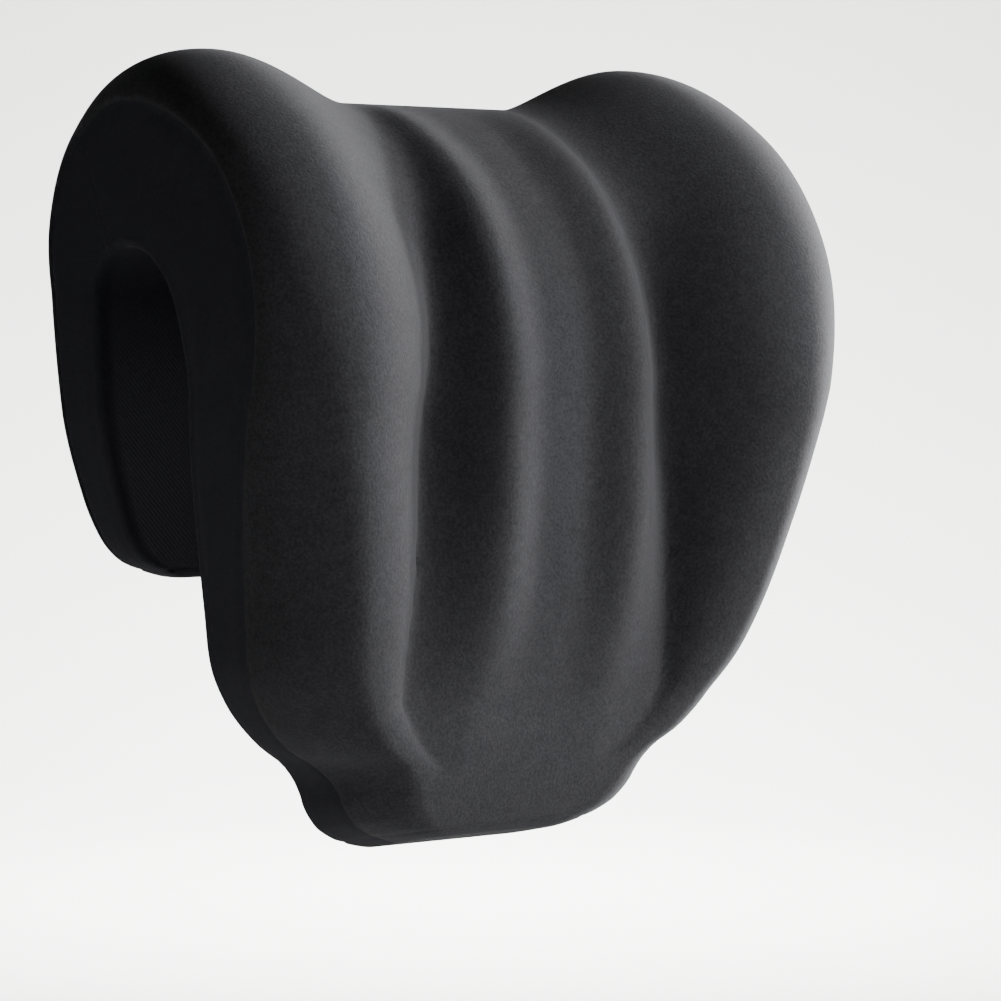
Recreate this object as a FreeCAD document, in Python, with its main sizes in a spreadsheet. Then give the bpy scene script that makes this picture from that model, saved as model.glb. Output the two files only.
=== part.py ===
import FreeCAD, Part
import math
import os
from FreeCAD import Placement, Rotation, Vector

# Headrest pad that hangs over the top of an office chair's back like a saddle.
# Frame: +Z up, -Y towards the sitter's head, +Y behind the chair, millimetres.
# The origin is the middle of the slot's ceiling, where the chair's top edge bears.

doc = FreeCAD.newDocument("chair_headrest")
sheet = doc.addObject("Spreadsheet::Sheet", "sizes")

SIZES = [
    ("pad_half_width", 136.0, "half the width across the wings"),
    ("tab_half_width", 66.0, "half the width of the tab at the foot of the front limb"),
    ("tab_corner", 28.0, "how far the tab's rounded corners come in"),
    ("flap_end_half_width", 98.0, "half the width of the rear flap's straight lower edge"),
    ("limb_length", 214.0, "slot ceiling down to the foot of the front limb"),
    ("flap_length", 116.0, "slot ceiling down to the foot of the rear flap"),
    ("slot_front", 32.0, "ceiling line forward to the slot's front wall"),
    ("slot_front_rise", 40.0, "height of the ceiling's front curve"),
    ("slot_rear", 14.0, "ceiling line back to the slot's rear wall"),
    ("slot_rear_rise", 16.0, "height of the ceiling's rear curve"),
    ("limb_lean", 0.2, "how much the front wall leans back for each millimetre down"),
    ("limb_fold", 160.0, "depth below the ceiling where the front wall turns upright"),
    ("flap_lean", 0.028, "how much the rear wall leans back for each millimetre down"),
    ("foot_tilt", 11.0, "tilt of the tab's underside in degrees"),
    ("fabric", 1.6, "thickness of the knitted cover"),
    ("gap", 0.3, "clearance between layers"),
    ("lap_play", 0.05, "clearance between a spring strip and the plate under it"),
    ("core_play", 0.6, "further clearance of the foam core inside its cover"),
    ("steel", 1.2, "thickness of the clamp's spring steel"),
    ("plate_half_width", 85.0, "half the width of the clamp's plates"),
    ("plate_height", 50.0, "height of the clamp's plates"),
    ("front_plate_drop", 52.0, "slot ceiling down to the front plate's upper edge"),
    ("rear_plate_drop", 22.0, "slot ceiling down to the rear plate's upper edge"),
    ("strip_width", 25.0, "width of a spring strip"),
    ("strip_offset", 55.0, "middle of a spring strip from the centre line"),
    ("strip_lap", 22.0, "length of strip riveted onto a plate"),
    ("rivet_radius", 2.0, "radius of a rivet"),
    ("rivet_play", 0.05, "radial clearance of a rivet in its hole"),
    ("rivet_spacing", 12.0, "distance between the two rivets of a lap"),
    ("liner_split", 104.0, "depth below the ceiling of the seam across the front liner"),
    ("zip_drop", 132.0, "slot ceiling down to the line of the zip"),
    ("zip_length", 176.0, "length of the zip's chain"),
    ("zip_window", 11.0, "height of the gap in the liner that shows the zip"),
    ("tape_width", 12.0, "width of a zip tape"),
    ("tape_thickness", 0.6, "thickness of a zip tape"),
    ("tooth_pitch", 4.0, "distance from one tooth to the next"),
    ("tooth_height", 1.4, "height of the chain above and below the tape together"),
    ("chain_groove", 1.2, "groove between the two rows of teeth"),
    ("tooth_reach", 1.9, "width of one row of teeth"),
    ("slider_length", 11.0, "length of the slider"),
    ("slider_width", 8.6, "width of the slider"),
    ("slider_plate", 0.9, "thickness of the slider's plates"),
    ("pin_radius", 0.7, "radius of the pull's cross pin"),
    ("pull_length", 26.0, "length of the pull"),
    ("pull_width", 6.0, "width of the pull"),
    ("pull_thickness", 1.2, "thickness of the pull"),
    ("bend_start", 2.25, "place round the saddle where the flexible corner starts"),
    ("bend_end", 3.0, "place round the saddle where the flexible corner ends"),
    ("crown_start", 1.5, "place round the saddle where the front pad meets the crown"),
]

# The contour round the saddle. A place is 0 at the front limb's foot, 1 at the top of its
# straight wall, 2 on the ceiling line, 3 at the top of the flap and 4 at the flap's foot.
# spread: 0 is the width at the limb's own foot and 1 the full width; below 0 cuts the
# corners. centre, seam and wing are thicknesses out from the slot: at the middle, at the
# side seam, and the wings' rise above the middle. crest is the wings' place across.
CONTOUR = [
    ("foot", 0.00, -1.00, 36.0, 20.5, 0.0, 0.64),
    ("corner_low", 0.03, -0.50, 40.5, 21.5, 0.0, 0.66),
    ("corner", 0.06, -0.23, 43.5, 22.5, 0.0, 0.68),
    ("tab_low", 0.115, -0.02, 47.0, 23.0, 0.0, 0.70),
    ("tab", 0.16, 0.04, 49.0, 21.5, 0.0, 0.72),
    ("shoulder_low", 0.20, 0.12, 50.5, 18.5, 0.4, 0.74),
    ("shoulder", 0.24, 0.26, 52.0, 17.0, 0.8, 0.75),
    ("shoulder_top", 0.31, 0.43, 54.5, 18.0, 2.0, 0.77),
    ("limb_low", 0.425, 0.61, 57.0, 21.5, 4.0, 0.79),
    ("limb", 0.54, 0.69, 58.0, 23.5, 6.5, 0.80),
    ("limb_high", 0.71, 0.80, 56.0, 26.5, 10.0, 0.80),
    ("wing_low", 0.92, 0.92, 50.0, 32.0, 15.0, 0.80),
    ("wing", 1.00, 0.95, 48.0, 34.5, 16.5, 0.79),
    ("brow", 1.33, 1.00, 46.0, 45.0, 17.0, 0.78),
    ("brow_top", 1.67, 1.00, 47.0, 49.0, 17.0, 0.76),
    ("crown", 2.00, 1.00, 52.3, 49.7, 16.7, 0.73),
    ("crown_rear", 2.33, 1.00, 47.0, 41.5, 11.0, 0.71),
    ("rear_corner", 2.67, 1.00, 38.5, 31.5, 5.0, 0.68),
    ("flap_top", 3.00, 1.00, 32.5, 24.5, 2.0, 0.68),
    ("flap_high", 3.40, 0.93, 30.0, 21.5, 0.0, 0.72),
    ("flap", 3.70, 0.74, 27.0, 18.5, 0.0, 0.76),
    ("flap_low", 3.85, 0.59, 24.0, 15.5, 0.0, 0.78),
    ("flap_corner", 3.93, 0.42, 21.5, 13.5, 0.0, 0.80),
    ("flap_foot", 4.00, 0.00, 18.0, 11.5, 0.0, 0.80),
]
COLUMNS = ("place", "spread", "centre", "seam", "wing", "crest")

rows = list(SIZES)
for name, *values in CONTOUR:
    for column, value in zip(COLUMNS, values):
        rows.append((f"{name}_{column}", value, f"{column} at the {name.replace('_', ' ')}"))
for number, (alias, value, note) in enumerate(rows, 1):
    sheet.set(f"A{number}", note)
    sheet.set(f"B{number}", str(value))
    sheet.setAlias(f"B{number}", alias)
doc.recompute()


def size(alias):
    return float(sheet.get(alias))


STATIONS = [[size(f"{row[0]}_{column}") for column in COLUMNS] for row in CONTOUR]
FOOT, WALL_TOP, CEILING, FLAP_TOP, FLAP_FOOT = 0.0, 1.0, 2.0, 3.0, 4.0
BEND_START, BEND_END = size("bend_start"), size("bend_end")
FABRIC, GAP, STEEL = size("fabric"), size("gap"), size("steel")
SKIN = FABRIC + GAP
STRIP_DEPTH = SKIN + STEEL + size("lap_play")
FOAM_BASE = STRIP_DEPTH + STEEL + 3 * GAP


def slope(before, after):
    """Slope at a point between two chords that keeps the curve from overshooting."""
    return 0.0 if before * after <= 0 else 2 * before * after / (before + after)


def along(place, column):
    """A contour value at any place, by a curve through the stations."""
    places = [station[0] for station in STATIONS]
    values = [station[COLUMNS.index(column)] for station in STATIONS]
    chords = [(v1 - v0) / (p1 - p0) for v0, v1, p0, p1
              in zip(values, values[1:], places, places[1:])]
    slopes = [chords[0]] + [slope(a, b) for a, b in zip(chords, chords[1:])] + [chords[-1]]
    index = sum(1 for station in places[1:-1] if station <= place)
    step = places[index + 1] - places[index]
    part = (place - places[index]) / step
    start, end = values[index], values[index + 1]
    return (start * (1 + 2 * part) * (1 - part) ** 2 + end * part ** 2 * (3 - 2 * part)
            + step * part * (1 - part) * (slopes[index] * (1 - part) - slopes[index + 1] * part))


def half_width(place):
    """Half the pad's width at a place round the saddle."""
    spread = along(place, "spread")
    if place > CEILING:
        foot = size("flap_end_half_width")
        return foot + (size("pad_half_width") - foot) * spread
    if spread < 0:
        return size("tab_half_width") + size("tab_corner") * spread
    tab = size("tab_half_width")
    return tab + (size("pad_half_width") - tab) * spread


# Angle on the ceiling's front curve where it runs into the leaning wall without a kink.
RISE, REACH = size("slot_front_rise"), size("slot_front")
RUN_IN = math.atan(size("limb_lean") * RISE / REACH)
WALL_Y = -REACH * math.cos(RUN_IN)
WALL_Z = -RISE * (1 + math.sin(RUN_IN))
FOLD_Y = WALL_Y + size("limb_lean") * (WALL_Z + size("limb_fold"))
LIMB_ANGLE = math.degrees(math.atan(size("limb_lean")))
FLAP_ANGLE = math.degrees(math.atan(size("flap_lean")))


def wall_y(height):
    """The slot's front wall at a height."""
    return WALL_Y + size("limb_lean") * min(WALL_Z - height, WALL_Z + size("limb_fold"))


def flap_wall_y(height):
    """The slot's rear wall at a height."""
    return size("slot_rear") - size("flap_lean") * (height + size("slot_rear_rise"))


def wall(place):
    """Point of the slot's wall (y, z) at a place, and the angle of the way outwards."""
    if place <= WALL_TOP:
        height = -size("limb_length") + (size("limb_length") + WALL_Z) * place
        tilt = size("foot_tilt") * max(0.0, 1 - 4 * place)
        return wall_y(height), height, math.radians(180 - tilt)
    if place <= CEILING:
        turn = (math.pi / 2 + RUN_IN) * (CEILING - place) + math.pi / 2
        outwards = math.pi / 2 * (1 + CEILING - place)
        return REACH * math.cos(turn), RISE * (math.sin(turn) - 1), outwards
    rear, rise = size("slot_rear"), size("slot_rear_rise")
    if place <= FLAP_TOP:
        turn = math.pi / 2 * (FLAP_TOP - place)
        return rear * math.cos(turn), rise * (math.sin(turn) - 1), turn
    height = -rise - (size("flap_length") - rise) * (place - FLAP_TOP)
    return flap_wall_y(height), height, 0.0


def stretch(place):
    """How much further across a layer on the side edge reaches where the outline slopes."""
    near, far = max(FOOT, place - 0.01), min(FLAP_FOOT, place + 0.01)
    run = math.dist(wall(near)[:2], wall(far)[:2])
    return min(1.5, math.hypot(1.0, (half_width(far) - half_width(near)) / run))


def inner_half(place, inset):
    """Half the width inside a layer on the side edge."""
    return half_width(place) - inset * stretch(place)


def at(place, across, out):
    """Point in space: a place round the saddle, a distance across and one outwards."""
    y, z, angle = wall(place)
    return Vector(across, y + out * math.cos(angle), z + out * math.sin(angle))


def profile(place, across):
    """Outer face of the pad: across runs from -2 (left seam) through 0 to 2 (right seam)."""
    side, share = math.copysign(1.0, across), abs(across)
    half, crest_x = half_width(place), half_width(place) * along(place, "crest")
    centre, wing, seam = (along(place, column) for column in ("centre", "wing", "seam"))
    if share <= 1:
        climb = max(0.0, (share - 0.25) / 0.75)
        return side * share * crest_x, centre + wing * climb ** 2 * (3 - 2 * climb)
    turn = (share - 1) * math.pi / 2
    return (side * (crest_x + (half - crest_x) * math.sin(turn)),
            seam + (centre + wing - seam) * math.cos(turn))


ACROSS = (-2, -1.7, -1.35, -1, -0.75, -0.5, -0.25, 0, 0.25, 0.5, 0.75, 1, 1.35, 1.7, 2)


def skyline(place, inset):
    """Curve across the pad's outer face, set in by a distance, as points in space."""
    points = []
    for across in ACROSS:
        x, out = profile(place, across)
        x0, out0 = profile(place, max(-2, across - 0.02))
        x1, out1 = profile(place, min(2, across + 0.02))
        nx, nout = out0 - out1, x1 - x0
        if abs(across) == 2:
            nx, nout = math.copysign(1.0, across), 0.0
        length = math.hypot(nx, nout)
        x -= inset * stretch(place) * nx / length
        points.append(at(place, x, out - inset * nout / length))
    return points


def spline(points):
    curve = Part.BSplineCurve()
    curve.interpolate(points)
    return curve.toShape()


def ring(edges_and_points):
    """Closed wire from splines, given as lists of points, joined by straight lines."""
    edges = []
    for run, following in zip(edges_and_points, edges_and_points[1:] + edges_and_points[:1]):
        if len(run) > 1:
            edges.append(spline(run))
        if run[-1].distanceToPoint(following[0]) > 1e-6:
            edges.append(Part.makeLine(run[-1], following[0]))
    return Part.Wire(edges)


def foam_section(place):
    top = skyline(place, SKIN + size("core_play"))
    half = inner_half(place, SKIN + size("core_play"))
    return ring([top, [at(place, half, FOAM_BASE)], [at(place, -half, FOAM_BASE)]])


def cover_section(place):
    return ring([skyline(place, 0.0), list(reversed(skyline(place, FABRIC)))])


def gusset_section(place, side):
    outer, inner, top = half_width(place), inner_half(place, FABRIC), along(place, "seam")
    corners = [(inner, 0.0), (outer, 0.0), (outer, top - GAP), (inner, top - GAP)]
    return Part.makePolygon([at(place, side * x, out) for x, out in corners + corners[:1]])


def places(start, end):
    """Section places from start to end: the stations between, and halfway in wide gaps."""
    marks = [station[0] for station in STATIONS if start + 0.02 < station[0] < end - 0.02]
    marks = [start] + marks + [end]
    halves = [(near + far) / 2 for near, far in zip(marks, marks[1:]) if far - near > 0.07]
    return sorted(marks + halves)


def loft(section, start, end, *more):
    """Solid with straight lines between its sections, so that layers can't wander into
    each other between them."""
    return Part.makeLoft([section(place, *more) for place in places(start, end)], True, True)


def feature(label, shape):
    """A sub-part whose shape is worked out here, from the sheet's values."""
    part = doc.addObject("Part::Feature", label)
    part.Label = label
    part.Shape = shape
    return part


nodes = []

# Foam core: one moulding in the real pad, parted here where it meets the crown and bends.
nodes.append(feature("foam_front_pad", loft(foam_section, FOOT, size("crown_start"))))
nodes.append(feature("foam_crown", loft(foam_section, size("crown_start"), BEND_START)))
nodes.append(feature("foam_bend", loft(foam_section, BEND_START, BEND_END)))
nodes.append(feature("foam_flap", loft(foam_section, BEND_END, FLAP_FOOT)))

# Knitted cover: face panel over the whole saddle, parted at the bend.
nodes.append(feature("cover_face_panel", loft(cover_section, FOOT, BEND_START)))
nodes.append(feature("cover_bend_panel", loft(cover_section, BEND_START, BEND_END)))
nodes.append(feature("cover_flap_panel", loft(cover_section, BEND_END, FLAP_FOOT)))

# Flat side gussets, sewn to the face panel's edges.
SIDES = (("left", -1), ("right", 1))
for word, side in SIDES:
    for zone, start, end in (("front", FOOT, BEND_START), ("bend", BEND_START, BEND_END),
                             ("flap", BEND_END, FLAP_FOOT)):
        nodes.append(feature(f"gusset_{word}_{zone}", loft(gusset_section, start, end, side)))


def end_strip(place):
    """Strip of cover that closes an end of the saddle."""
    half = half_width(place)
    outline = ring([skyline(place, 0.0), [at(place, half, 0.0)], [at(place, -half, 0.0)]])
    _, _, angle = wall(place)
    down = Vector(0, math.sin(angle), -math.cos(angle))
    if down.z > 0:
        down = down * -1
    return Part.Face(outline).extrude(down * FABRIC)


nodes.append(feature("cover_tab_strip", end_strip(FOOT)))
nodes.append(feature("cover_flap_strip", end_strip(FLAP_FOOT)))


def wall_normal(place):
    """Way out of the slot, square to its wall, at a place round the saddle."""
    nudge = 0.001
    before, after = (Vector(0, *wall(place + step)[:2]) for step in (-nudge, nudge))
    run = (after - before).normalize()
    return Vector(0, -run.z, run.y)


def layer_edge(start, end, depth, count):
    """Line that follows the slot's wall at a depth under its surface."""
    points = []
    for index in range(count + 1):
        place = start + (end - start) * index / count
        y, z, _ = wall(place)
        points.append(Vector(0, y, z) + wall_normal(place) * depth)
    return points


def layer(start, end, depth, thickness, left, right):
    """Layer that follows the slot's wall, as wide as from left to right."""
    count = 12
    near = layer_edge(start, end, depth, count)
    far = layer_edge(start, end, depth + thickness, count)
    face = Part.Face(ring([near, list(reversed(far))]))
    face.translate(Vector(left, 0, 0))
    return face.extrude(Vector(right - left, 0, 0))


# Slot liner. Over the ceiling it follows the curve; on the walls it is flat.
LINER_HALF = size("pad_half_width") - SKIN
EASE = 0.02
nodes.append(feature("liner_ceiling", layer(WALL_TOP + EASE, BEND_START, 0, FABRIC,
                                            -inner_half(WALL_TOP, SKIN),
                                            inner_half(WALL_TOP, SKIN))))
nodes.append(feature("liner_bend", layer(BEND_START, BEND_END - EASE, 0, FABRIC,
                                         -LINER_HALF, LINER_HALF)))


def place_at(height):
    """Place on the front limb at a height."""
    return (height + size("limb_length")) / (size("limb_length") + WALL_Z)


def flap_place_at(height):
    """Place on the flap at a height."""
    rise = size("slot_rear_rise")
    return FLAP_TOP - (height + rise) / (size("flap_length") - rise)


def wall_panel(top, bottom, y_at, half_at, outwards):
    """Flat-sided liner panel between two heights, cut to the pad's outline."""
    heights = [top, bottom]
    if y_at is wall_y and bottom < -size("limb_fold") < top:
        heights.insert(1, -size("limb_fold"))
    face = [Vector(0, y_at(height), height) for height in heights]
    back = [point + Vector(0, outwards * FABRIC, 0) for point in reversed(face)]
    width = size("pad_half_width")
    side = Part.Face(Part.makePolygon(face + back + face[:1]))
    side.translate(Vector(-width, 0, 0))
    slab = side.extrude(Vector(2 * width, 0, 0))
    count = 14
    rungs = [top + (bottom - top) * index / count for index in range(count + 1)]
    right = [Vector(half_at(height), -width, height) for height in rungs]
    left = [Vector(-point.x, point.y, point.z) for point in reversed(right)]
    prism = Part.Face(Part.makePolygon(right + left + right[:1])).extrude(Vector(0, 2 * width, 0))
    return slab.common(prism)


def limb_half(height):
    return inner_half(place_at(height), SKIN)


def flap_half(height):
    return inner_half(flap_place_at(height), SKIN)


SPLIT = -size("liner_split")
nodes.append(feature("liner_front_upper", wall_panel(WALL_Z - GAP, SPLIT, wall_y, limb_half, -1)))
nodes.append(feature("liner_flap", wall_panel(-size("slot_rear_rise") - GAP,
                                              -size("flap_length") + GAP,
                                              flap_wall_y, flap_half, 1)))
lower_liner = feature("lower_liner", wall_panel(SPLIT - GAP, -size("limb_length") + GAP,
                                                      wall_y, limb_half, -1))


def on_front_wall(height):
    """Placement on the front wall: local z out of the wall, local y down it."""
    return Placement(Vector(0, wall_y(height), height),
                     Rotation(Vector(1, 0, 0), LIMB_ANGLE - 90))


def on_flap_wall(height):
    """Placement on the rear wall: local z out of the wall, local y up it."""
    return Placement(Vector(0, flap_wall_y(height), height),
                     Rotation(Vector(1, 0, 0), 90 + FLAP_ANGLE))


def boxed(label, frame, corner, length, width, height):
    """Box in a wall's own frame, by its corner there and three sizes bound to the sheet."""
    box = doc.addObject("Part::Box", label)
    box.Label = label
    box.setExpression("Length", length)
    box.setExpression("Width", width)
    box.setExpression("Height", height)
    doc.recompute()
    box.Placement = frame.multiply(Placement(Vector(*corner), Rotation()))
    return box


ZIP_HEIGHT = -size("zip_drop")
zip_frame = on_front_wall(ZIP_HEIGHT)
ZIP_HALF = size("zip_length") / 2
WINDOW = size("zip_window")

window_cutter = boxed("zip_window_cutter", zip_frame, (-ZIP_HALF, -WINDOW / 2, -2 * FABRIC),
                      "sizes.zip_length", "sizes.zip_window", "4 * sizes.fabric")
liner_front_lower = doc.addObject("Part::Cut", "liner_front_lower")
liner_front_lower.Label = "liner_front_lower"
liner_front_lower.Base = lower_liner
liner_front_lower.Tool = window_cutter
nodes.append(liner_front_lower)

# Clamp: a steel plate behind each wall of the slot, joined over the crown by two strips
# of spring steel that are riveted to both.
PLATE_HALF = size("plate_half_width")
front_frame = on_front_wall(-size("front_plate_drop"))
rear_frame = on_flap_wall(-size("rear_plate_drop"))
RIVET_AT = [side * size("strip_offset") + step * size("rivet_spacing") / 2
            for _, side in SIDES for step in (-1, 1)]
LAP_MIDDLE = size("strip_lap") / 2


def rounded_plate(label, frame, down, holes):
    """Clamp plate: a padded sketch with rivet holes, laid under the liner."""
    body = doc.addObject("PartDesign::Body", label)
    body.Label = label
    plane = [item for item in body.Origin.OriginFeatures if item.Role == "XY_Plane"][0]
    sketch = body.newObject("Sketcher::SketchObject", label + "_outline")
    sketch.AttachmentSupport = [(plane, "")]
    sketch.MapMode = "FlatFace"
    height = down * size("plate_height")
    corners = [Vector(-PLATE_HALF, 0, 0), Vector(PLATE_HALF, 0, 0),
               Vector(PLATE_HALF, height, 0), Vector(-PLATE_HALF, height, 0)]
    for start, end in zip(corners, corners[1:] + corners[:1]):
        sketch.addGeometry(Part.LineSegment(start, end), False)
    for x in holes:
        hole = Part.Circle(Vector(x, down * LAP_MIDDLE, 0), Vector(0, 0, 1),
                           size("rivet_radius") + size("rivet_play"))
        sketch.addGeometry(hole, False)
    pad = body.newObject("PartDesign::Pad", label + "_pad")
    pad.Profile = sketch
    pad.setExpression("Length", "sizes.steel")
    pad.Reversed = True
    body.Placement = frame.multiply(Placement(Vector(0, 0, -SKIN), Rotation()))
    return body


nodes.append(rounded_plate("clamp_front_plate", front_frame, 1, RIVET_AT))
nodes.append(rounded_plate("clamp_rear_plate", rear_frame, -1, RIVET_AT))


def rivet(frame, x, down, radius):
    """Flush rivet through a plate and the strip that lies on it."""
    depth = 2 * STEEL + size("lap_play")
    base = frame.multVec(Vector(x, down * LAP_MIDDLE, -SKIN - depth))
    return Part.makeCylinder(radius, depth, base, frame.Rotation.multVec(Vector(0, 0, 1)))


def lap_place(frame, down):
    """Heights at the two ends of a strip's lap on a plate."""
    return [frame.multVec(Vector(0, down * way, 0)).z for way in (0, size("strip_lap"))]


front_lap_end = place_at(lap_place(front_frame, 1)[1])
rear_lap_end = flap_place_at(lap_place(rear_frame, -1)[1])


def strip(side):
    """Spring strip: flat on each plate, curved over the crown between them."""
    middle, half = side * size("strip_offset"), size("strip_width") / 2
    runs = ((front_lap_end, WALL_TOP, 1), (WALL_TOP, CEILING, 10), (CEILING, FLAP_TOP, 8),
            (FLAP_TOP, rear_lap_end, 1))
    lines = []
    for depth in (STRIP_DEPTH, STRIP_DEPTH + STEEL):
        line = []
        for start, end, count in runs:
            inner = EASE / 20 if count > 1 else 0
            line.append(layer_edge(start + inner, end - inner, depth, count))
        line[0][-1], line[3][0] = line[1][0], line[2][-1]
        line[1][-1] = line[2][0]
        lines.append(line)
    near, far = lines
    edges = []
    for line in lines:
        edges += [Part.makeLine(*line[0]), spline(line[1]), spline(line[2]),
                  Part.makeLine(*line[3])]
    edges += [Part.makeLine(near[0][0], far[0][0]), Part.makeLine(near[3][1], far[3][1])]
    face = Part.Face(Part.Wire(Part.__sortEdges__(edges)))
    face.translate(Vector(middle - half, 0, 0))
    blank = face.extrude(Vector(2 * half, 0, 0))
    radius = size("rivet_radius") + size("rivet_play")
    for frame, down in ((front_frame, 1), (rear_frame, -1)):
        for x in RIVET_AT:
            if abs(x - middle) < half:
                blank = blank.cut(rivet(frame, x, down, radius))
    return blank


for word, side in SIDES:
    nodes.append(feature(f"clamp_strip_{word}", strip(side)))
for word, frame, down in (("front", front_frame, 1), ("rear", rear_frame, -1)):
    group = Part.makeCompound([rivet(frame, x, down, size("rivet_radius")) for x in RIVET_AT])
    nodes.append(feature(f"clamp_rivets_{word}", group))

# Zip in the liner on the chair side of the front limb.
CHAIN_OUT = size("tooth_height") / 2
GROOVE_HALF = size("chain_groove") / 2
TAPE_TOP = -SKIN
CHAIN_MIDDLE = TAPE_TOP + size("tape_thickness") + CHAIN_OUT


def tape(word, side):
    start = GROOVE_HALF if side > 0 else -GROOVE_HALF - size("tape_width")
    return boxed(f"zip_tape_{word}", zip_frame,
                 (-ZIP_HALF, start, TAPE_TOP - size("tape_thickness")),
                 "sizes.zip_length", "sizes.tape_width", "sizes.tape_thickness")


def teeth(side):
    """One row of the chain: a spine on the tape's edge with a tooth at every pitch."""
    pitch, reach = size("tooth_pitch"), size("tooth_reach")
    inner, spine = GROOVE_HALF, GROOVE_HALF + reach * 0.55
    outer = GROOVE_HALF + reach
    count = int(size("zip_length") / pitch) - 1
    start = -count * pitch / 2
    points = [Vector(start, side * outer, 0)]
    for index in range(count):
        x = start + index * pitch
        for step, depth in ((0.0, spine), (0.25, spine), (0.25, inner), (0.75, inner),
                            (0.75, spine)):
            points.append(Vector(x + step * pitch, side * depth, 0))
    points += [Vector(-start, side * spine, 0), Vector(-start, side * outer, 0)]
    row = Part.Face(Part.makePolygon(points + points[:1])).extrude(Vector(0, 0, 2 * CHAIN_OUT))
    row.Placement = zip_frame.multiply(Placement(Vector(0, 0, TAPE_TOP), Rotation()))
    return row


for word, side in (("upper", -1), ("lower", 1)):
    nodes.append(tape(word, side))
    nodes.append(feature(f"zip_teeth_{word}", teeth(side)))

CHAIN_HALF = (int(size("zip_length") / size("tooth_pitch")) - 1) * size("tooth_pitch") / 2
STOP = (1.4, 2 * (GROOVE_HALF + size("tooth_reach")), size("tooth_height"))
stops = [Part.makeBox(*STOP, Vector(x, -STOP[1] / 2, TAPE_TOP))
         for x in (-CHAIN_HALF - GAP - STOP[0], CHAIN_HALF + GAP)]
stop_group = Part.makeCompound(stops)
stop_group.Placement = zip_frame
nodes.append(feature("zip_end_stops", stop_group))

# Slider: two plates on a thin post that runs in the chain's groove, with a bridge on top.
SLIDER, WIDE, PLATE = size("slider_length"), size("slider_width"), size("slider_plate")
PLAY = GAP
UNDER = TAPE_TOP - size("tape_thickness") - PLAY
OVER = TAPE_TOP + size("tooth_height") + PLAY
PIN = size("pin_radius")
slider_x = CHAIN_HALF - SLIDER / 2 - GAP
PIN_LEVEL = OVER + PLATE + PLAY + PIN


POST = 3.0
BRIDGE_WIDTH = 1.8


def slider_shape():
    """Slider: two plates with a dividing post between them and a bridge for the pull."""
    lower = Part.makeBox(SLIDER, WIDE, PLATE, Vector(-SLIDER / 2, -WIDE / 2, UNDER - PLATE))
    upper = Part.makeBox(SLIDER, WIDE, PLATE, Vector(-SLIDER / 2, -WIDE / 2, OVER))
    post_half = GROOVE_HALF - GAP / 2
    post = Part.makeBox(POST, 2 * post_half, OVER - UNDER, Vector(-SLIDER / 2, -post_half, UNDER))
    bridge_half = PIN + PLAY + PLATE
    roof = PIN_LEVEL + PIN + PLAY
    arch = Part.makeBox(2 * bridge_half, BRIDGE_WIDTH, roof + PLATE - OVER,
                        Vector(-bridge_half, -BRIDGE_WIDTH / 2, OVER))
    room = Part.makeBox(2 * (PIN + PLAY), BRIDGE_WIDTH, roof - OVER - PLATE,
                        Vector(-PIN - PLAY, -BRIDGE_WIDTH / 2, OVER + PLATE))
    shape = lower.fuse([upper, post, arch.cut(room)]).removeSplitter()
    shape.Placement = zip_frame.multiply(Placement(Vector(slider_x, 0, 0), Rotation()))
    return shape


nodes.append(feature("zip_slider", slider_shape()))


CHEEK, CHEEK_LAP = 1.2, 1.0
EYE, EYE_INSET = 1.6, 3.4


def pull_shape():
    """Pull: a cross pin under the slider's bridge, two cheeks and a blade with an eye."""
    wide, long, thick = (size(word) for word in ("pull_width", "pull_length", "pull_thickness"))
    pin = Part.makeCylinder(PIN, wide, Vector(0, -wide / 2, 0), Vector(0, 1, 0))
    start = PIN + 2 * PLAY + PLATE + CHEEK / 2
    parts = []
    for side in (-1, 1):
        y = side * (wide - CHEEK) / 2 - CHEEK / 2
        parts.append(Part.makeBox(start + PIN + CHEEK_LAP, CHEEK, 2 * PIN,
                                  Vector(-start - CHEEK_LAP, y, -PIN)))
    blade = Part.makeBox(long - start, wide, thick, Vector(-long, -wide / 2, -thick / 2))
    eye = Part.makeCylinder(EYE, thick, Vector(-long + EYE_INSET, 0, -thick / 2))
    shape = pin.fuse(parts + [blade.cut(eye)]).removeSplitter()
    shape.Placement = zip_frame.multiply(Placement(Vector(slider_x, 0, PIN_LEVEL), Rotation()))
    return shape


nodes.append(feature("zip_pull", pull_shape()))

doc.recompute()
for item in doc.Objects:
    if "Invalid" in item.State or "Error" in item.State:
        raise RuntimeError(f"{item.Label} failed: {item.State}")
for node in nodes:
    if node.Shape.isNull() or not node.Shape.isValid():
        raise RuntimeError(f"{node.Label} has no valid shape")

os.makedirs("parts", exist_ok=True)
for node in nodes:
    node.Shape.exportStep(f"parts/{node.Label}.step")

axis_place = (BEND_START + BEND_END) / 2
axis = at(axis_place, 0, STRIP_DEPTH + STEEL / 2)
print("flap axis", axis)
print("zip frame", zip_frame.Base, "slider x", slider_x, "pin level", PIN_LEVEL)
print("front liner point", wall_y(-75), "flap wall", flap_wall_y(-60))
for node in nodes:
    box = node.Shape.optimalBoundingBox(True, False)
    print(f"{node.Label:22s} {len(node.Shape.Solids):3d} {node.Shape.Volume / 1000:9.2f}",
          " ".join(f"{value:8.2f}" for value in (box.XMin, box.XMax, box.YMin, box.YMax,
                                                 box.ZMin, box.ZMax)))
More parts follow.
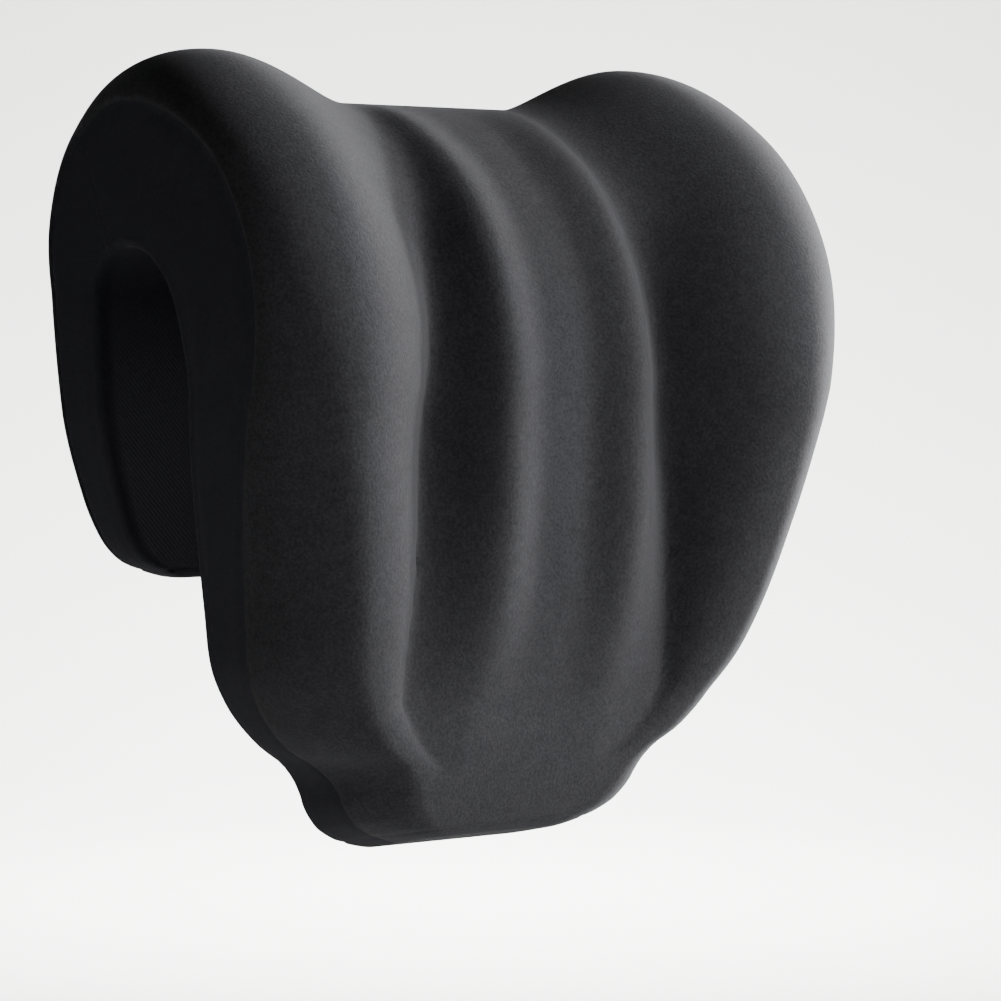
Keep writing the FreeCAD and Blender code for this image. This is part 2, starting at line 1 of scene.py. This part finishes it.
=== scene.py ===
import bmesh
import bpy
import math
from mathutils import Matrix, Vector


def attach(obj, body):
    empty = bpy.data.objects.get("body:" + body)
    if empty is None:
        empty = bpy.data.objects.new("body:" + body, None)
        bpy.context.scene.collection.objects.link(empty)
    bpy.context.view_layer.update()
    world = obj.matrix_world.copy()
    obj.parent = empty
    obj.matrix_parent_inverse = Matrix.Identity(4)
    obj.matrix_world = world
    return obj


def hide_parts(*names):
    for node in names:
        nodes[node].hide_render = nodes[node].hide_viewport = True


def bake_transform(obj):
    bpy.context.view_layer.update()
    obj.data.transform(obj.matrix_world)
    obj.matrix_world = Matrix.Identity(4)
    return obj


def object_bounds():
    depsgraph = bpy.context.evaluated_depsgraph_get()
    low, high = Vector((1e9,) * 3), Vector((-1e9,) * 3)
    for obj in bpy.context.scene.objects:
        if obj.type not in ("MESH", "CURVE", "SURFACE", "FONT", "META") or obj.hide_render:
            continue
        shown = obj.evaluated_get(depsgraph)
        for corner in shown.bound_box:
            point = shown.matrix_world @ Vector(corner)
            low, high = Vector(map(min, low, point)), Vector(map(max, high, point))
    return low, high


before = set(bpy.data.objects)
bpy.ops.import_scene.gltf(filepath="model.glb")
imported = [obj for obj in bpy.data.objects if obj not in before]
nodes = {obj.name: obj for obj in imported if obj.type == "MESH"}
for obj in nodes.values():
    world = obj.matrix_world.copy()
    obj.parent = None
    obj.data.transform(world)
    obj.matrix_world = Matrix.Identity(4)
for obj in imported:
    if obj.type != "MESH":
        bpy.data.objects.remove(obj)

cad_box = [list(corner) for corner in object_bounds()]

# Camera. A long lens from the front left, a little above the middle of the pad, so that the
# left side panel, the slot and the whole front face show.
AZIMUTH, ELEVATION, DISTANCE = -42.0, 2.2, 1.60
LOOK_RIGHT, LOOK_DOWN = 0.0142, 0.0166
low, high = Vector(cad_box[0]), Vector(cad_box[1])
centre = (low + high) / 2


def direction(azimuth, elevation):
    """Unit vector away from the pad, from degrees round it and degrees up."""
    a, e = math.radians(azimuth), math.radians(elevation)
    return Vector((math.sin(a) * math.cos(e), -math.cos(a) * math.cos(e), math.sin(e)))


back = direction(AZIMUTH, ELEVATION)
right = Vector((math.cos(math.radians(AZIMUTH)), math.sin(math.radians(AZIMUTH)), 0.0))
aim = centre + right * LOOK_RIGHT - Vector((0.0, 0.0, LOOK_DOWN))
camera = bpy.data.objects.new("camera", bpy.data.cameras.new("camera"))
camera.data.lens = 160.0
camera.data.sensor_width = 36.0
camera.data.clip_end = 40.0
camera.location = aim + back * DISTANCE
camera.rotation_euler = (-back).to_track_quat("-Z", "Y").to_euler()
bpy.context.scene.collection.objects.link(camera)
bpy.context.scene.camera = camera


def linear(code):
    """sRGB hex colour as linear red, green, blue and alpha."""
    parts = [int(code[i:i + 2], 16) / 255 for i in (1, 3, 5)]
    return [p / 12.92 if p <= 0.04045 else ((p + 0.055) / 1.055) ** 2.4 for p in parts] + [1.0]


def add(tree, kind, settings=None, **links):
    """Add a node, with its settings, and link its inputs from (node, output) pairs."""
    node = tree.nodes.new(kind)
    for name, value in (settings or {}).items():
        if name in node.inputs:
            node.inputs[name].default_value = value
        else:
            setattr(node, name, value)
    for name, (source, output) in links.items():
        tree.links.new(source.outputs[output], node.inputs[name.replace("_", " ")])
    return node


def finish_named(name):
    """New node material, its node tree and its shader node."""
    material = bpy.data.materials.new(name)
    material.use_nodes = True
    tree = material.node_tree
    shader = next(node for node in tree.nodes if node.type == "BSDF_PRINCIPLED")
    return material, tree, shader


def two_tones(tree, source, output, code, shares, positions=(0.0, 1.0)):
    """Colour ramp from a darker to a lighter shade of one colour."""
    ramp = add(tree, "ShaderNodeValToRGB", Fac=(source, output))
    for element, position, share in zip(ramp.color_ramp.elements, positions, shares):
        element.position = position
        element.color = [c * share for c in linear(code)[:3]] + [1.0]
    return ramp


# Brushed-suede knit. The cover is a weft-knitted polyester with a short raised nap, dyed
# charcoal. It gives the eye a matt, nearly black cloth with a fine uneven grain, and a pale
# bloom where the nap is seen edge-on.
def nap_knit(name, cloth_hex, nap_hex, grain=0.0011):
    material, tree, shader = finish_named(name)
    place = add(tree, "ShaderNodeTexCoord")
    fine = add(tree, "ShaderNodeTexNoise",
               {"Scale": 1 / grain, "Detail": 3.0, "Roughness": 0.62}, Vector=(place, "Object"))
    patch = add(tree, "ShaderNodeTexNoise",
                {"Scale": 1 / 0.006, "Detail": 2.0, "Roughness": 0.5}, Vector=(place, "Object"))
    broad = add(tree, "ShaderNodeTexNoise",
                {"Scale": 1 / 0.05, "Detail": 1.0}, Vector=(place, "Object"))
    speck = two_tones(tree, fine, "Fac", cloth_hex, (0.72, 1.34), (0.34, 0.68))
    tone = add(tree, "ShaderNodeMapRange", {"From Min": 0.3, "From Max": 0.7,
                                            "To Min": 0.93, "To Max": 1.07}, Value=(patch, "Fac"))
    sway = add(tree, "ShaderNodeMapRange", {"From Min": 0.3, "From Max": 0.7,
                                            "To Min": 0.96, "To Max": 1.04}, Value=(broad, "Fac"))
    both = add(tree, "ShaderNodeMath", {"operation": "MULTIPLY"})
    tree.links.new(tone.outputs["Result"], both.inputs[0])
    tree.links.new(sway.outputs["Result"], both.inputs[1])
    shade = add(tree, "ShaderNodeVectorMath", {"operation": "SCALE"}, Scale=(both, "Value"))
    tree.links.new(speck.outputs["Color"], shade.inputs[0])
    tree.links.new(shade.outputs["Vector"], shader.inputs["Base Color"])
    nap = add(tree, "ShaderNodeBump", {"Strength": 0.35, "Distance": 0.0004},
              Height=(fine, "Fac"))
    shader.inputs["Roughness"].default_value = 0.88
    shader.inputs["Specular IOR Level"].default_value = 0.04
    shader.inputs["Sheen Weight"].default_value = 0.06
    shader.inputs["Sheen Roughness"].default_value = 0.45
    shader.inputs["Sheen Tint"].default_value = linear(nap_hex)
    tree.links.new(nap.outputs["Normal"], shader.inputs["Normal"])
    return material


cover_knit = nap_knit("charcoal_napped_knit", "#1e1e20", "#9a9a9e")


# Warp-knit lining. The side panels and the slot are lined with a smooth warp-knitted
# polyester of the same dye lot. It gives the eye a flatter, slightly cooler black than the
# face, with a faint fine rib and no bloom at its edges.
def warp_knit(name, cloth_hex, rib=0.0009):
    material, tree, shader = finish_named(name)
    place = add(tree, "ShaderNodeTexCoord")
    ribs = add(tree, "ShaderNodeTexWave", {"wave_type": "BANDS", "bands_direction": "DIAGONAL",
                                           "Scale": 0.314 / rib, "Distortion": 1.2, "Detail": 2.0,
                                           "Detail Scale": 1.6}, Vector=(place, "Object"))
    fluff = add(tree, "ShaderNodeTexNoise",
                {"Scale": 1 / 0.0009, "Detail": 2.0, "Roughness": 0.6}, Vector=(place, "Object"))
    yarn = two_tones(tree, fluff, "Fac", cloth_hex, (0.84, 1.16), (0.32, 0.70))
    tree.links.new(yarn.outputs["Color"], shader.inputs["Base Color"])
    height = add(tree, "ShaderNodeMath", {"operation": "ADD"})
    tree.links.new(ribs.outputs["Fac"], height.inputs[0])
    tree.links.new(fluff.outputs["Fac"], height.inputs[1])
    relief = add(tree, "ShaderNodeBump", {"Strength": 0.10, "Distance": 0.0002},
                 Height=(height, "Value"))
    shader.inputs["Roughness"].default_value = 0.92
    shader.inputs["Specular IOR Level"].default_value = 0.05
    tree.links.new(relief.outputs["Normal"], shader.inputs["Normal"])
    return material


lining_knit = warp_knit("charcoal_warp_knit", "#1c1c20")

# The pad: a slow-recovery foam saddle in its sewn knit cover, made in two lengths that meet
# at the seam across the crown. The front length is the face, the wings and the tab; the
# rear length is the nape of the crown and the flap.
MM = 0.001
# All in millimetres: half widths of the pad, of the tab and of the flap's end, and what the
# tab's corners take off; the lengths of the front limb and the flap below the slot's ceiling;
# the ceiling's reach and drop to the front wall and to the rear wall; the walls' slopes.
HALF_WIDTH, TAB_HALF, TAB_CORNER, FLAP_END_HALF = 136.0, 66.0, 28.0, 98.0
LIMB, FLAP = 214.0, 116.0
REACH, RISE, REAR, REAR_RISE = 32.0, 40.0, 14.0, 16.0
LEAN, FOLD, FLAP_LEAN, FOOT_TILT = 0.2, 160.0, 0.028, 11.0
RUN_IN = math.atan(LEAN * RISE / REACH)
WALL_Y, WALL_Z = -REACH * math.cos(RUN_IN), -RISE * (1 + math.sin(RUN_IN))
CROWN_SEAM = 2.25

# The pad's outline and thickness. Place round the saddle: 0 at the tab's foot, 1 at the top
# of the front wall, 2 at the ceiling, 3 at the top of the rear wall and 4 at the flap's foot.
# Then the spread of the outline from the tab or the flap's end to the full width, thickness
# at the middle and at the side seam, rise of the wings over the middle, and where across the
# half width the wings are highest.
CONTOUR = [
    (0.00, -1.00, 36.0, 20.5, 0.0, 0.64),
    (0.03, -0.50, 40.5, 21.5, 0.0, 0.66),
    (0.06, -0.23, 43.5, 22.5, 0.0, 0.68),
    (0.115, -0.02, 47.0, 23.0, 0.0, 0.70),
    (0.16, 0.04, 49.0, 21.5, 0.0, 0.72),
    (0.20, 0.12, 50.5, 18.5, 0.4, 0.74),
    (0.24, 0.26, 52.0, 17.0, 0.8, 0.75),
    (0.31, 0.43, 54.5, 18.0, 2.0, 0.77),
    (0.425, 0.61, 57.0, 21.5, 4.0, 0.79),
    (0.54, 0.69, 58.0, 23.5, 6.5, 0.80),
    (0.71, 0.80, 56.0, 26.5, 10.0, 0.80),
    (0.92, 0.92, 50.0, 32.0, 15.0, 0.80),
    (1.00, 0.95, 48.0, 34.5, 16.5, 0.79),
    (1.33, 1.00, 46.0, 45.0, 17.0, 0.78),
    (1.67, 1.00, 47.0, 49.0, 17.0, 0.76),
    (2.00, 1.00, 52.3, 49.7, 16.7, 0.73),
    (2.33, 1.00, 47.0, 41.5, 11.0, 0.71),
    (2.67, 1.00, 38.5, 31.5, 5.0, 0.68),
    (3.00, 1.00, 32.5, 24.5, 2.0, 0.68),
    (3.40, 0.93, 30.0, 21.5, 0.0, 0.72),
    (3.70, 0.74, 27.0, 18.5, 0.0, 0.76),
    (3.85, 0.59, 24.0, 15.5, 0.0, 0.78),
    (3.93, 0.42, 21.5, 13.5, 0.0, 0.80),
    (4.00, 0.00, 18.0, 11.5, 0.0, 0.80),
]
# The face's relief: place, height of the two ridges, depth of the grooves outside them and
# the grooves' distance from the middle.
RELIEF = [
    (0.15, 0.0, 0.0, 60.0),
    (0.31, 0.6, 1.6, 62.0),
    (0.42, 1.8, 4.6, 63.0),
    (0.64, 5.0, 8.6, 61.0),
    (0.86, 6.3, 10.6, 58.6),
    (1.10, 6.0, 10.0, 54.5),
    (1.40, 5.2, 7.4, 50.6),
    (1.57, 4.4, 3.0, 47.0),
    (1.75, 3.0, 0.4, 43.0),
    (1.95, 0.0, 0.0, 40.0),
]
RIDGE_FOOT, RIDGE = 8.0, 29.5


def curve_through(table, column, at):
    """Smooth curve through a table's rows that never overshoots them."""
    if at <= table[0][0]:
        return table[0][column]
    if at >= table[-1][0]:
        return table[-1][column]
    chords = [(b[column] - a[column]) / (b[0] - a[0]) for a, b in zip(table, table[1:])]
    turns = [0.0 if a * b <= 0 else 2 * a * b / (a + b) for a, b in zip(chords, chords[1:])]
    slopes = [chords[0], *turns, chords[-1]]
    i = sum(1 for row in table[1:-1] if row[0] <= at)
    step = table[i + 1][0] - table[i][0]
    t = (at - table[i][0]) / step
    start, end = table[i][column], table[i + 1][column]
    return (start * (1 + 2 * t) * (1 - t) ** 2 + end * t * t * (3 - 2 * t)
            + step * t * (1 - t) * (slopes[i] * (1 - t) - slopes[i + 1] * t))


def half_at(place):
    """Half the pad's width at a place, in millimetres."""
    spread = curve_through(CONTOUR, 1, place)
    if place > 2:
        return FLAP_END_HALF + (HALF_WIDTH - FLAP_END_HALF) * spread
    if spread < 0:
        return TAB_HALF + TAB_CORNER * spread
    return TAB_HALF + (HALF_WIDTH - TAB_HALF) * spread


def wall_at(place):
    """The slot's wall at a place: y and z in millimetres, and the angle of the way out."""
    if place <= 1:
        z = -LIMB + (LIMB + WALL_Z) * place
        y = WALL_Y + LEAN * min(WALL_Z - z, WALL_Z + FOLD)
        return y, z, math.radians(180 - FOOT_TILT * max(0.0, 1 - 4 * place))
    if place <= 2:
        turn = (math.pi / 2 + RUN_IN) * (2 - place) + math.pi / 2
        return REACH * math.cos(turn), RISE * (math.sin(turn) - 1), math.pi / 2 * (3 - place)
    if place <= 3:
        turn = math.pi / 2 * (3 - place)
        return REAR * math.cos(turn), REAR_RISE * (math.sin(turn) - 1), turn
    z = -REAR_RISE - (FLAP - REAR_RISE) * (place - 3)
    return REAR - FLAP_LEAN * (z + REAR_RISE), z, 0.0


def spot(place, x, out):
    """Point of the pad in metres."""
    y, z, angle = wall_at(place)
    return Vector((x, y + out * math.cos(angle), z + out * math.sin(angle))) * MM


def ease(t):
    """Smooth step: 0 up to nought, 1 from one on."""
    t = min(1.0, max(0.0, t))
    return t * t * (3 - 2 * t)


def face_out(place, x, crest_x, middle, wing):
    """Thickness of the pad at a distance from the middle, inside the wings' crest."""
    ridge = curve_through(RELIEF, 1, place)
    groove = curve_through(RELIEF, 2, place)
    groove_x = min(curve_through(RELIEF, 3, place), crest_x * 0.8)
    x = abs(x)
    if x <= RIDGE:
        return middle + ridge * ease((x - RIDGE_FOOT) / (RIDGE - RIDGE_FOOT))
    if x <= groove_x:
        return middle + ridge - (ridge + groove) * ease((x - RIDGE) / (groove_x - RIDGE))
    climb = (x - groove_x) / (crest_x - groove_x)
    # The slope up from the groove is fuller on the straight limb and more even on the crown.
    fuller = 0.17 * ease((0.95 - place) / 0.5) * ease((place - 0.08) / 0.15)
    climb = climb ** (0.62 - fuller + 0.28 * ease((place - 1.15) / 0.45))
    return middle - groove + (groove + wing) * ease(climb)


# Mesh columns over the face, down a side, round a corner and across the slot's liner.
FACE, SIDE, CORNER, LINER = 132, 14, 5, 64
CORNER_R = 4.0


def section(place):
    """Outline of the pad's cross-section at a place: (across, out) pairs once round."""
    half = half_at(place)
    middle, seam, wing, crest = (curve_through(CONTOUR, c, place) for c in (2, 3, 4, 5))
    crest_x = half * crest
    face = []
    for i in range(FACE + 1):
        q = 4.0 * i / FACE - 2.0
        if abs(q) <= 1:
            x = q * crest_x
            face.append((x, face_out(place, x, crest_x, middle, wing)))
        else:
            turn = (abs(q) - 1) * math.pi / 2
            face.append((math.copysign(crest_x + (half - crest_x) * math.sin(turn), q),
                         seam + (middle + wing - seam) * math.cos(turn)))
    side = [(half, seam + (CORNER_R - seam) * i / SIDE) for i in range(1, SIDE + 1)]
    corner = [(half - CORNER_R + CORNER_R * math.cos(math.pi / 2 * i / CORNER),
               CORNER_R - CORNER_R * math.sin(math.pi / 2 * i / CORNER))
              for i in range(1, CORNER + 1)]
    inner = half - CORNER_R
    liner = [(inner - 2 * inner * i / LINER, 0.0) for i in range(1, LINER)]
    mirrored = [(-x, out) for x, out in reversed(side + corner)]
    return face + side + corner + liner + mirrored


# Sewn seams pull the cover in: the side seams and the edges of the slot, by the number of
# mesh columns from the seam, and the edges where a length ends, by how far from its end.
SEAM_PULL = {-2: 0.10, -1: 0.40, 0: 1.00, 1: 0.40, 2: 0.10}
EDGE_PULL = {-1: 0.25, 0: 0.60, 1: 0.25}
AROUND = FACE + 2 * SIDE + 2 * CORNER + LINER
FIRST_LINER = FACE + SIDE + CORNER
ZIP_Z, ZIP_HALF, WINDOW_HALF, WINDOW_DEPTH = -132.0, 88.0, 5.6, 2.9
LINER_SEAM_Z, SEAM_SPREAD, SEAM_DIP = -104.0, 2.0, 0.9


def place_of(z):
    """Place on the front wall at a height in millimetres."""
    return (z + LIMB) / (LIMB + WALL_Z)


def pulled(place, k, x, out):
    """A section's point with the seams and the zip's window drawn in."""
    for seam in (0, FACE):
        step = (k - seam + AROUND // 2) % AROUND - AROUND // 2
        x -= math.copysign(SEAM_PULL.get(step, 0.0), x)
    for edge in (FACE + SIDE, AROUND - SIDE):
        x -= math.copysign(EDGE_PULL.get(k - edge, 0.0), x)
    if FIRST_LINER < k < FIRST_LINER + LINER and place < 1:
        z = wall_at(place)[1]
        if abs(z - ZIP_Z) <= WINDOW_HALF and abs(x) <= ZIP_HALF + 2.0:
            out += WINDOW_DEPTH
        out += SEAM_DIP * max(0.0, 1 - abs(z - LINER_SEAM_Z) / SEAM_SPREAD)
    return x, out


def rows_between(start, end, step=0.0165, nearest=0.0012):
    """Places of the mesh rows, closer together at the zip's window and the liner's seam."""
    count = round((end - start) / step)
    rows = [start + (end - start) * i / count for i in range(count + 1)]
    for z in (ZIP_Z - WINDOW_HALF, ZIP_Z + WINDOW_HALF):
        for nudge in (-0.35, 0.05):
            rows.append(place_of(z + math.copysign(nudge, z - ZIP_Z)))
    rows += [place_of(LINER_SEAM_Z + lift) for lift in (-2.0, -0.8, 0.0, 0.8, 2.0)]
    rows = sorted(row for row in rows if start <= row <= end)
    kept = rows[:1]
    for row in rows[1:]:
        if row - kept[-1] > nearest:
            kept.append(row)
    return kept


def rolled_edge(end, span, towards, radius=3.0, steps=6):
    """Rows that roll a length's end over: a sewn groove, a quarter round and a flat."""
    roll = [(end + towards * radius * 1.35 / span, 0.0),
            (end + towards * radius * 1.12 / span, 0.25)]
    for i in range(steps + 1):
        turn = math.pi / 2 * i / steps
        groove = 0.6 if i == 0 else 0.0
        roll.append((end + towards * radius * (1 - math.sin(turn)) / span,
                     groove + radius * (1 - math.cos(turn))))
    return roll + [(end, radius + 2.5)]


def as_object(shell, name):
    """Object of a bmesh, linked to the scene."""
    mesh = bpy.data.meshes.new(name)
    shell.to_mesh(mesh)
    shell.free()
    piece = bpy.data.objects.new(name, mesh)
    bpy.context.scene.collection.objects.link(piece)
    return piece


EDGE_ANGLE = math.radians(50)


def pad_length(name, rows):
    """Closed pad through rows of (place, inset): a grid bent round the sections."""
    shell = bmesh.new()
    bmesh.ops.create_grid(shell, x_segments=AROUND, y_segments=len(rows) - 1, size=1.0)
    outlines = [section(place) for place, inset in rows]
    for face in shell.faces:
        column = (face.calc_center_median().x + 1) / 2 * AROUND
        face.material_index = 0 if column < FACE else 1
    for vertex in shell.verts:
        k = round((vertex.co.x + 1) / 2 * AROUND) % AROUND
        j = round((vertex.co.y + 1) / 2 * (len(rows) - 1))
        place, inset = rows[j]
        x, out = pulled(place, k, *outlines[j][k])
        # An inset draws the section in towards its own middle, to round or tuck an end.
        half, thick = half_at(place), curve_through(CONTOUR, 3, place)
        x *= 1 - inset / half
        out += (thick / 2 - out) * inset / (thick / 2) if out < thick else -inset
        vertex.co = spot(place, x, out)
    bmesh.ops.remove_doubles(shell, verts=shell.verts, dist=1e-6)
    rims = [edge for edge in shell.edges if edge.is_boundary]
    ends = bmesh.ops.holes_fill(shell, edges=rims, sides=0)["faces"]
    bmesh.ops.recalc_face_normals(shell, faces=shell.faces)
    bmesh.ops.triangulate(shell, faces=ends)
    for face in shell.faces:
        face.smooth = True
    for edge in shell.edges:
        edge.smooth = edge.calc_face_angle(0.0) < EDGE_ANGLE
    piece = as_object(shell, name)
    piece.data.materials.append(cover_knit)
    piece.data.materials.append(lining_knit)
    return piece


FOOT_END, HEM_END = 0.06, 3.94
foot = rolled_edge(0.0, LIMB + WALL_Z, 1.0)
corner_rows = [foot[0][0] + (FOOT_END - foot[0][0]) * i / 9 for i in range(1, 9)]
crown_tuck = [(CROWN_SEAM - 0.006, 0.03), (CROWN_SEAM, 0.12), (CROWN_SEAM, 4.0)]
limb = [(place, 0.0) for place in corner_rows + rows_between(FOOT_END, CROWN_SEAM - 0.02)]
pad_front = pad_length("pad_cover_front", foot[::-1] + limb + crown_tuck)
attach(pad_front, "pad")
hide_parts("foam_front_pad", "foam_crown", "cover_face_panel", "gusset_left_front",
            "gusset_right_front", "cover_tab_strip", "liner_ceiling", "liner_front_upper",
            "liner_front_lower")

rear_tuck = [(2 * CROWN_SEAM - place, inset) for place, inset in crown_tuck]
hem = rolled_edge(4.0, FLAP - REAR_RISE, -1.0)
corner_rows = [HEM_END + (hem[0][0] - HEM_END) * i / 7 for i in range(1, 7)]
flap = [(place, 0.0) for place in rows_between(CROWN_SEAM + 0.02, HEM_END) + corner_rows]
pad_rear = pad_length("pad_cover_rear", rear_tuck[::-1] + flap + hem)
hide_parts("foam_bend", "foam_flap", "cover_bend_panel", "cover_flap_panel",
            "gusset_left_bend", "gusset_right_bend", "gusset_left_flap", "gusset_right_flap",
            "cover_flap_strip", "liner_bend", "liner_flap")
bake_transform(pad_rear)


def wear(names, material):
    """Give CAD pieces a finish."""
    for name in names:
        for slot in nodes[name].material_slots:
            slot.material = material


# Woven tape: matt, with threads across and along that catch the light in turn.
def woven_tape(name, thread_hex, thread=0.0006):
    material, tree, shader = finish_named(name)
    place = add(tree, "ShaderNodeTexCoord")
    warp = add(tree, "ShaderNodeTexWave", {"wave_type": "BANDS", "bands_direction": "X",
                                           "Scale": 0.314 / thread}, Vector=(place, "Object"))
    weft = add(tree, "ShaderNodeTexWave", {"wave_type": "BANDS", "bands_direction": "Z",
                                           "Scale": 0.314 / thread}, Vector=(place, "Object"))
    cross = add(tree, "ShaderNodeMath", {"operation": "MULTIPLY"})
    tree.links.new(warp.outputs["Fac"], cross.inputs[0])
    tree.links.new(weft.outputs["Fac"], cross.inputs[1])
    shade = two_tones(tree, cross, "Value", thread_hex, (0.6, 1.5))
    tree.links.new(shade.outputs["Color"], shader.inputs["Base Color"])
    relief = add(tree, "ShaderNodeBump", {"Strength": 0.5, "Distance": 0.0002},
                 Height=(cross, "Value"))
    tree.links.new(relief.outputs["Normal"], shader.inputs["Normal"])
    shader.inputs["Roughness"].default_value = 0.8
    shader.inputs["Specular IOR Level"].default_value = 0.05
    return material


wear(["zip_tape_upper", "zip_tape_lower"], woven_tape("woven_polyester_tape", "#1e1e21"))


# A plain hard finish whose gloss is broken up by handling: noise moves the roughness between
# two values, and a finer noise gives the surface its orange peel or grit.
def handled(name, hex_code, rough, metallic=0.0, patch=0.004, grit=0.0005, depth=0.00003,
            coat=0.0):
    material, tree, shader = finish_named(name)
    place = add(tree, "ShaderNodeTexCoord")
    rubbed = add(tree, "ShaderNodeTexNoise", {"Scale": 1 / patch, "Detail": 4.0, "Roughness": 0.6},
                 Vector=(place, "Object"))
    gloss = add(tree, "ShaderNodeMapRange", {"From Min": 0.3, "From Max": 0.7, "To Min": rough[0],
                                             "To Max": rough[1]}, Value=(rubbed, "Fac"))
    tint = two_tones(tree, rubbed, "Fac", hex_code, (0.85, 1.2), (0.35, 0.75))
    grain = add(tree, "ShaderNodeTexNoise", {"Scale": 1 / grit, "Detail": 2.0},
                Vector=(place, "Object"))
    relief = add(tree, "ShaderNodeBump", {"Strength": 0.3, "Distance": depth},
                 Height=(grain, "Fac"))
    tree.links.new(tint.outputs["Color"], shader.inputs["Base Color"])
    tree.links.new(gloss.outputs["Result"], shader.inputs["Roughness"])
    tree.links.new(relief.outputs["Normal"], shader.inputs["Normal"])
    shader.inputs["Metallic"].default_value = metallic
    shader.inputs["Coat Weight"].default_value = coat
    shader.inputs["Coat Roughness"].default_value = 0.15
    return material


# Moulded acetal: a close black with the soft even shine of a moulding.
wear(["zip_teeth_upper", "zip_teeth_lower"], handled("moulded_acetal", "#1b1c1e", (0.32, 0.46)))
# Lacquered zinc: a cast base under black lacquer, so a clear highlight over a dark body.
wear(["zip_end_stops", "zip_slider", "zip_pull"],
     handled("black_lacquered_zinc", "#1f2022", (0.24, 0.40), metallic=0.35, coat=0.6))

# The clamp inside the pad: two tempered spring-steel plates and two strips, cold-rolled, so
# blue-grey with a satin sheen, held by zinc-plated rivets, which are paler and a little duller.
wear(["clamp_front_plate", "clamp_rear_plate", "clamp_strip_left", "clamp_strip_right"],
     handled("tempered_spring_steel", "#6f767e", (0.28, 0.42), metallic=1.0, patch=0.012))
wear(["clamp_rivets_front", "clamp_rivets_rear"],
     handled("zinc_plated_steel", "#a9adb0", (0.34, 0.50), metallic=1.0))

# Floor and wall: one pale sweep all round, so that no line shows behind the pad.
sweep = bmesh.new()
floor_z = low.z - 0.30
radius, bend_r, bend_steps, wall_top = 4.0, 1.2, 8, 3.4
profile = [Vector((0.0, 0.0, floor_z)), Vector((radius - bend_r, 0.0, floor_z))]
for step in range(1, bend_steps + 1):
    turn = math.pi / 2 * step / bend_steps
    profile.append(Vector((radius - bend_r + bend_r * math.sin(turn), 0.0,
                           floor_z + bend_r - bend_r * math.cos(turn))))
profile.append(Vector((radius, 0.0, wall_top)))
points = [sweep.verts.new(point) for point in profile]
edges = [sweep.edges.new(pair) for pair in zip(points, points[1:])]
bmesh.ops.spin(sweep, geom=points + edges, cent=(0, 0, 0), axis=(0, 0, 1),
               angle=2 * math.pi, steps=64, use_merge=True)
bmesh.ops.remove_doubles(sweep, verts=sweep.verts, dist=1e-5)
bmesh.ops.recalc_face_normals(sweep, faces=sweep.faces)
for face in sweep.faces:
    face.smooth = True
studio = as_object(sweep, "studio_sweep")
paper, paper_tree, paper_shader = finish_named("pale_studio_paper")
paper_shader.inputs["Base Color"].default_value = linear("#dcdcda")
paper_shader.inputs["Roughness"].default_value = 0.9
studio.data.materials.append(paper)

# Studio light: narrow soft boxes from the right, the front right and low in front, a lamp
# that whitens the wall behind the pad, and a weak even glow from all round.
world = bpy.data.worlds.new("studio_world")
bpy.context.scene.world = world
world.use_nodes = True
glow = world.node_tree.nodes["Background"]
glow.inputs["Color"].default_value = linear("#f6f8fb")
glow.inputs["Strength"].default_value = 0.08


def soft_box(name, azimuth, elevation, distance, size, power, spread, target=centre):
    """Area light that looks at the pad, or at another target, from a direction round it."""
    way = direction(azimuth, elevation)
    lamp = bpy.data.lights.new(name, "AREA")
    lamp.shape = "DISK"
    lamp.size = size
    lamp.energy = power
    lamp.spread = math.radians(spread)
    light = bpy.data.objects.new(name, lamp)
    light.location = target + way * distance
    light.rotation_euler = (-way).to_track_quat("-Z", "Y").to_euler()
    bpy.context.scene.collection.objects.link(light)


soft_box("key_soft_box", 92.0, 6.0, 2.2, 1.1, 29.0, spread=34.0)
soft_box("front_soft_box", 58.0, 16.0, 2.4, 1.2, 22.0, spread=40.0)
soft_box("low_soft_box", 8.0, -20.0, 1.5, 0.6, 6.5, spread=50.0)
BACKDROP_BEHIND, BACKDROP_BELOW = 2.9, 0.40
backdrop_spot = centre - back * BACKDROP_BEHIND - Vector((0.0, 0.0, BACKDROP_BELOW))
soft_box("backdrop_lamp", AZIMUTH, 52.0, 2.4, 0.6, 170.0, spread=100.0, target=backdrop_spot)
